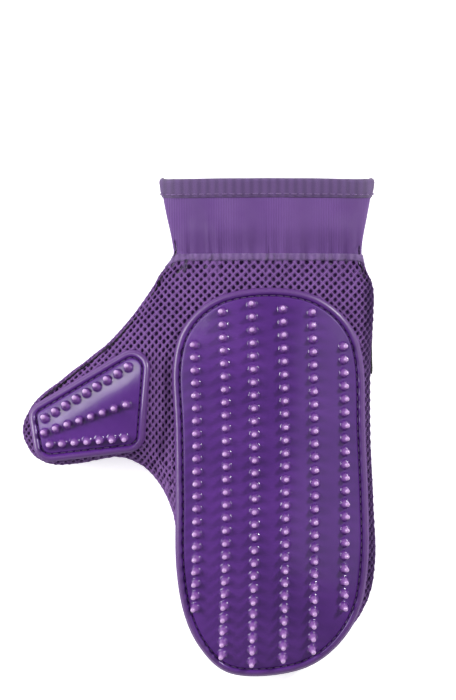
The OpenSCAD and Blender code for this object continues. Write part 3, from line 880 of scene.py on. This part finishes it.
def pad(name, path, height, feet, node_names, seed):
    """A moulded pad: edge, bead and groove as strips round the outline, a fine face inside, and its nubs."""
    normal = inward(path, True)
    n = len(path)
    rings = [path + normal * inset for inset, _ in PAD_PROFILE]
    verts = np.vstack([
        np.column_stack([r, height(r[:, 0], r[:, 1]) + up]) for r, (_, up) in zip(rings, PAD_PROFILE)
    ])
    # Clockwise rings that climb outwards and over the bead: this order faces out.
    faces = [list(reversed(f)) for f in grid_faces(len(rings), n, wrap=True)]
    inset = np.repeat([distance for distance, _ in PAD_PROFILE], n)
    # bead and groove tint the rubber: bead lighter as a painted highlight, groove darker as painted shade.
    # With flank they also set the roughness.
    shades = {
        "bead": rise((2.9 - inset) / 1.2),
        "groove": np.exp(-((inset - GROOVE_INSET) / 0.36) ** 4),
        "flank": rise((0.9 - inset) / 0.8) + np.exp(-((inset - GROOVE_INSET) / 0.85) ** 4),
    }
    flat, inner = triangulate(rings[-1], FACE_SPACING)
    top = np.column_stack([flat, height(flat[:, 0], flat[:, 1]) + FACE_RISE])
    last = (len(rings) - 1) * n
    offset = len(verts) - n
    # The first n filled points are the last ring's own.
    remap = np.concatenate([np.arange(n) + last, np.arange(n, len(flat)) + offset])
    verts = np.vstack([verts, top[n:]])
    faces += [[int(remap[i]) for i in f] for f in inner]
    under_flat, under = triangulate(rings[0], UNDER_SPACING)
    under_top = np.column_stack([under_flat, height(under_flat[:, 0], under_flat[:, 1]) + PAD_PROFILE[0][1]])
    start = len(verts)
    under_map = np.concatenate([np.arange(n), np.arange(n, len(under_flat)) + start - n])
    verts = np.vstack([verts, under_top[n:]])
    faces += [[int(under_map[i]) for i in reversed(f)] for f in under]
    nub_verts, nub_faces, tips = nubs(height, feet, seed)
    start = len(verts)
    verts = np.vstack([verts, nub_verts])
    faces += [[i + start for i in f] for f in nub_faces]
    rest = np.zeros(len(verts) - len(inset))
    shades = {key: np.concatenate([values, rest]) for key, values in shades.items()}
    # tip also tints the nubs' tips pale, partly as a painted highlight.
    shades["tip"] = np.concatenate([np.zeros(start), tips])
    piece = build(name, verts, faces, RUBBER, "nub_rubber", **shades)
    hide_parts(*node_names)
    return piece


def tube(path, radius, sides=8):
    """A closed tube along an open path, pinched at its ends: points and faces."""
    p = np.asarray(path, float)
    tangent = np.gradient(p, axis=0)
    tangent /= np.linalg.norm(tangent, axis=1)[:, None]
    a = np.cross(tangent, [0, 0, 1])
    flat_run = np.linalg.norm(a, axis=1) < 1e-3
    a[flat_run] = [1, 0, 0]
    a /= np.linalg.norm(a, axis=1)[:, None]
    b = np.cross(a, tangent)
    share = np.linspace(0, 1, len(p))
    r = radius * (0.45 + 0.55 * np.sin(np.pi * share) ** 0.5)
    verts = []
    for k in range(len(p)):
        for t in range(sides):
            angle = 2 * np.pi * t / sides
            verts.append(p[k] + r[k] * (a[k] * math.cos(angle) + b[k] * math.sin(angle)))
    faces = grid_faces(len(p), sides, wrap=True)
    faces.append(list(reversed(range(sides))))
    faces.append([(len(p) - 1) * sides + t for t in range(sides)])
    return np.array(verts), faces


def stitch_row(path, pitch, length, radius, dip, closed=True, normals=None):
    """Separate stitches along a path. Each arches out of the cloth and dips back in at both ends."""
    p = np.vstack([path, path[:1]]) if closed else path
    n = None
    if normals is not None:
        n = np.vstack([normals, normals[:1]]) if closed else normals
    s = np.concatenate([[0], np.cumsum(np.linalg.norm(np.diff(p, axis=0), axis=1))])
    count = max(1, int(s[-1] / pitch))
    step = s[-1] / count
    verts, faces = [], []
    total = 0
    for k in range(count):
        marks = k * step + np.linspace(0, length, 7)
        run = np.stack([np.interp(marks, s, p[:, c]) for c in range(3)], 1)
        up = np.array([0, 0, 1.0])
        if n is not None:
            up = np.stack([np.interp(marks, s, n[:, c]) for c in range(3)], 1)
            up /= np.linalg.norm(up, axis=1)[:, None]
        sink = dip * (1 - np.sin(np.pi * np.linspace(0, 1, 7)) ** 0.6)
        v, f = tube(run - up * sink[:, None], radius)
        verts.append(v)
        faces += [[i + total for i in face] for face in f]
        total += len(v)
    return np.vstack(verts), faces


def pad_thread(name, path, height, nodes):
    line = path + inward(path, True) * GROOVE_INSET
    run = np.column_stack([line, height(line[:, 0], line[:, 1]) + GROOVE_THREAD_RISE])
    verts, faces = stitch_row(run, *PAD_STITCH)
    piece = build(name, verts, faces, THREAD, "purple_thread")
    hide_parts(*nodes)
    return piece


def pads():
    main = pad("main_pad", PAD_PATH, main_height, main_nub_feet(), ("palm_pad", "finger_pad"), 21)
    bend(main, 1)
    stitched = ("palm_pad_stitching", "finger_pad_stitching")
    bend(pad_thread("main_pad_thread", PAD_PATH, main_height, stitched), 1)
    thumb = pad("thumb_rubber_pad", THUMB_PATH, thumb_height, thumb_nub_feet(), ("thumb_pad",), 22)
    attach(thumb, "thumb")
    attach(pad_thread("thumb_pad_thread", THUMB_PATH, thumb_height, ("thumb_pad_stitching",)), "thumb")


# ---------------------------------------------------------------- wrist and cuff

# Points across one side of a ring round the cuff, and round a ring of stitches.
RING, STITCH_RING = 110, 160
CUFF_THICKNESS = 2.3


def seam_at(y):
    """The seam's x on the little finger's side and on the thumb's side at the wrist and cuff."""
    first, last = SEAM_PATH[:60], SEAM_PATH[-60:]
    right = np.interp(-y, -first[:, 1], first[:, 0])
    left = np.interp(y, last[:, 1], last[:, 0])
    return right, left


def ring_rows(ys, lifts, across):
    """Rings round the wrist or cuff, over the front to the left seam and back underneath: points, normals."""
    points, normals = [], []
    for y, lift in zip(ys, np.broadcast_to(lifts, len(ys))):
        right, left = seam_at(y)
        share = np.linspace(0, 1, across)
        ef, eb = FRONT_ARC - FRONT_REACH, BACK_ARC - BACK_REACH
        uf = np.column_stack([right + ef + (left - right - 2 * ef) * share, np.full(across, y)])
        ub = np.column_stack([left - eb + (right - left + 2 * eb) * share, np.full(across, y)])[1:-1]
        pf, nf = lifted(front_at, uf, np.full(across, lift))
        pb, nb = lifted(back_at, ub, np.full(across - 2, lift), -1)
        points.append(np.vstack([pf, pb]))
        normals.append(np.vstack([nf, nb]))
    return np.array(points), np.array(normals)


def cuff_bend(piece):
    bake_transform(piece)


def half_tube(name, ys, front, material, slot, node):
    """One side of the cuff as a closed slab."""
    outer, normals = ring_rows(ys, 0.0, RING)
    inner, _ = ring_rows(ys, -CUFF_THICKNESS, RING)
    count = outer.shape[1]
    columns = list(range(0, RING)) if front else list(range(RING - 1, count)) + [0]
    o, i, n = outer[:, columns], inner[:, columns], normals[:, columns]
    rows, cols = o.shape[:2]
    faces = [list(reversed(f)) for f in grid_faces(rows, cols)]
    verts, solid = thick(o.reshape(-1, 3), i.reshape(-1, 3), faces)
    flat_normals = n.reshape(-1, 3)
    piece = build(name, verts, solid, material, slot, normals=np.vstack([flat_normals, -flat_normals]))
    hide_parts(node)
    cuff_bend(piece)


def closed_band(name, ys, lift_out, lift_in, material, slot):
    """A closed ring band, such as the elastic or a fold of tape."""
    outer, _ = ring_rows(ys, lift_out, RING)
    inner, _ = ring_rows(ys[::-1], lift_in[::-1], RING)
    rings = np.vstack([outer, inner, outer[:1]])
    rows, cols = rings.shape[:2]
    body = rings[:-1].reshape(-1, 3)
    faces = []
    for r in range(rows - 1):
        nxt = (r + 1) % (rows - 1)
        for c in range(cols):
            d = (c + 1) % cols
            faces.append([nxt * cols + c, nxt * cols + d, r * cols + d, r * cols + c])
    return build(name, body, faces, material, slot)


def wrist_and_cuff():
    ys = np.concatenate([np.linspace(0.0, 14, 15), np.linspace(15.5, CUFF_LENGTH, 15)])
    half_tube("cuff_front_panel", ys, True, CUFF_KNIT, "back_knit", "cuff_front")
    half_tube("cuff_back_panel", ys, False, CUFF_KNIT, "back_knit", "cuff_back")

    hem_y = np.array([28.0, 28.15, 29.2, 31, 33, 35, 36.2, 36.8])
    hem_out = np.array([0.12, 0.55, 0.72, 0.76, 0.76, 0.72, 0.35, -0.6])
    hem_in = np.array([-2.45, -2.95, -3.1, -3.1, -3.1, -3.0, -2.6, -1.7])
    hem = closed_band("cuff_hem_tape", hem_y, hem_out, hem_in, HEM, "hem_tape")
    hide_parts("cuff_hem")
    cuff_bend(hem)

    run, normals = ring_rows([29.6], 1.02, STITCH_RING)
    verts, faces = stitch_row(run[0], *HEM_STITCH, normals=normals[0])
    thread = build("hem_thread", verts, faces, PALE_THREAD, "purple_thread")
    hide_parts("hem_stitching")
    cuff_bend(thread)

    join_y = np.array([-1.1, -0.95, -0.4, 0.5, 1.4, 1.95, 2.1])
    join_out = np.array([-0.1, 0.45, 0.66, 0.72, 0.66, 0.45, -0.1])
    join = closed_band("wrist_join_binding", join_y, join_out, np.full(7, -2.0), BINDING, "hem_tape")
    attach(join, "palm")

    band_y = np.linspace(-8, -2, 7)
    outside, inside = np.full(7, -3.2), np.full(7, -4.3)
    tape = closed_band("wrist_elastic_tape", band_y, outside, inside, ELASTIC, "elastic_tape")
    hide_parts("wrist_elastic")
    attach(tape, "palm")

    rows, all_faces = [], []
    total = 0
    for y in (-6.6, -3.4):
        run, normals = ring_rows([y], -4.35, STITCH_RING)
        verts, faces = stitch_row(run[0], *ELASTIC_STITCH, normals=-normals[0])
        rows.append(verts)
        all_faces += [[i + total for i in f] for f in faces]
        total += len(verts)
    thread = build("elastic_thread", np.vstack(rows), all_faces, PALE_THREAD, "purple_thread")
    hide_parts("elastic_stitching")
    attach(thread, "palm")


# ---------------------------------------------------------------- label

LABEL_Y, LABEL_LENGTH, LABEL_ROUND, LABEL_X = -38.0, 33.0, 9.3, 48.2
LABEL_TOP, LABEL_BOTTOM = math.radians(66), math.radians(28)


def label_point(t, out):
    return (
        LABEL_X - LABEL_ROUND + (LABEL_ROUND + out) * math.sin(t),
        SEAM_Z - (SEAM_Z + out) * math.cos(t),
    )


def label():
    """A folded satin label: two layers that meet in a round fold at the free edge."""
    steps = np.linspace(LABEL_TOP, LABEL_BOTTOM, 14)
    fold = [(t, 1.02) for t in steps]
    fold += [(LABEL_BOTTOM - 0.03, 0.9), (LABEL_BOTTOM - 0.04, 0.7), (LABEL_BOTTOM - 0.03, 0.48)]
    fold += [(t, 0.34) for t in steps[::-1]]
    profile = [label_point(t, out) for t, out in fold]
    ys = np.linspace(-LABEL_LENGTH / 2, LABEL_LENGTH / 2, 24)
    verts = []
    for y in ys:
        lift = 0.10 * math.sin(y * 0.35) + 0.06 * math.sin(y * 0.9 + 1)
        verts += [(x + lift, LABEL_Y + y, z) for x, z in profile]
    columns = len(profile)
    faces = grid_faces(len(ys), columns, wrap=True)
    faces.append(list(reversed(range(columns))))
    faces.append([(len(ys) - 1) * columns + k for k in range(columns)])
    piece = build("woven_label", np.array(verts), faces, LABEL, "label_cloth")
    piece.data.polygons.foreach_set("use_smooth", [len(p.vertices) < 5 for p in piece.data.polygons])
    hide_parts("side_label")
    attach(piece, "label")
    x, z = label_point(LABEL_TOP - 0.09, 1.25)
    line = np.array([(x, LABEL_Y + y, z) for y in np.linspace(-15.5, 15.5, 60)])
    out = np.tile([math.sin(LABEL_TOP), 0, -math.cos(LABEL_TOP)], (60, 1))
    verts, faces = stitch_row(line, *LABEL_STITCH, closed=False, normals=out)
    thread = build("label_thread", verts, faces, LABEL_THREAD, "label_thread")
    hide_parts("label_stitching")
    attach(thread, "label")


# ---------------------------------------------------------------- stage

# Half of the floor's side, in metres.
FLOOR = 4.0
# Area lights: name, way to it from the mitt's middle, distance and sides in metres, and watts.
LIGHTS = [
    ("key", (0.83, 0.59, 0.81), 1.3, (0.2, 0.2), 13),
    ("left_softbox", (-0.85, 0.2, 0.5), 1.2, (0.7, 0.5), 14),
    ("overhead", (-0.50, 0.36, 0.79), 1.4, (0.3, 0.3), 1.9),
    ("right_softbox", (0.6, -0.1, 0.9), 1.3, (1.0, 1.0), 1.2),
]
LIT_POINT = (-15, -90, 20)


def area_light(name, way, distance, size, power):
    data = bpy.data.lights.new(name, "AREA")
    data.shape = "RECTANGLE"
    data.size, data.size_y = size
    data.energy = power
    lamp = bpy.data.objects.new(name, data)
    bpy.context.scene.collection.objects.link(lamp)
    outward = Vector(way).normalized()
    lamp.location = Vector(to_frame(LIT_POINT)) + outward * distance
    lamp.rotation_euler = (-outward).to_track_quat("-Z", "Y").to_euler()


def stage():
    floor = bpy.data.meshes.new("floor")
    corners = [(-FLOOR, -FLOOR, 0), (FLOOR, -FLOOR, 0), (FLOOR, FLOOR, 0), (-FLOOR, FLOOR, 0)]
    floor.from_pydata(corners, [], [(0, 1, 2, 3)])
    obj = bpy.data.objects.new("floor", floor)
    bpy.context.scene.collection.objects.link(obj)
    paint = Shader("floor_paint", (0.9, 0.9, 0.9), 0.9, **{"Specular IOR Level": 0.0})
    paint.bsdf.inputs["Emission Color"].default_value = (1, 1, 1, 1)
    paint.bsdf.inputs["Emission Strength"].default_value = 0.6
    floor.materials.append(paint.material)

    world = bpy.data.worlds.new("studio")
    world.use_nodes = True
    world.node_tree.nodes["Background"].inputs["Color"].default_value = (1, 1, 1, 1)
    world.node_tree.nodes["Background"].inputs["Strength"].default_value = 0.3
    bpy.context.scene.world = world
    for name, way, distance, size, power in LIGHTS:
        area_light(name, way, distance, size, power)


# The camera looks straight down on the palm. Its axis stands over a point right of the view's middle.
# The view's height is measured in the plane at SCALE_PLANE_Z.
VIEW_HEIGHT_MM = 327.6
VIEW_MIDDLE = (-19.66, -43.06)
AXIS_POINT = (4.7, -29.0)
CAMERA_HEIGHT = 1.118
SCALE_PLANE_Z = 18.0


def camera():
    data = bpy.data.cameras.new("camera")
    data.sensor_fit = "VERTICAL"
    data.sensor_height = 24
    distance = CAMERA_HEIGHT - SCALE_PLANE_Z / 1000
    data.lens = data.sensor_height * distance / (VIEW_HEIGHT_MM / 1000)
    data.shift_x = (VIEW_MIDDLE[0] - AXIS_POINT[0]) / VIEW_HEIGHT_MM
    data.shift_y = (VIEW_MIDDLE[1] - AXIS_POINT[1]) / VIEW_HEIGHT_MM
    data.clip_end = 20
    obj = bpy.data.objects.new("camera", data)
    bpy.context.scene.collection.objects.link(obj)
    x, y, _ = to_frame([AXIS_POINT[0], AXIS_POINT[1], 0])
    obj.location = (x, y, CAMERA_HEIGHT)
    bpy.context.scene.camera = obj


stage()
camera()
spacer_mesh()
hand_panels()
pads()
wrist_and_cuff()
label()

bpy.context.scene.view_settings.view_transform = "Standard"
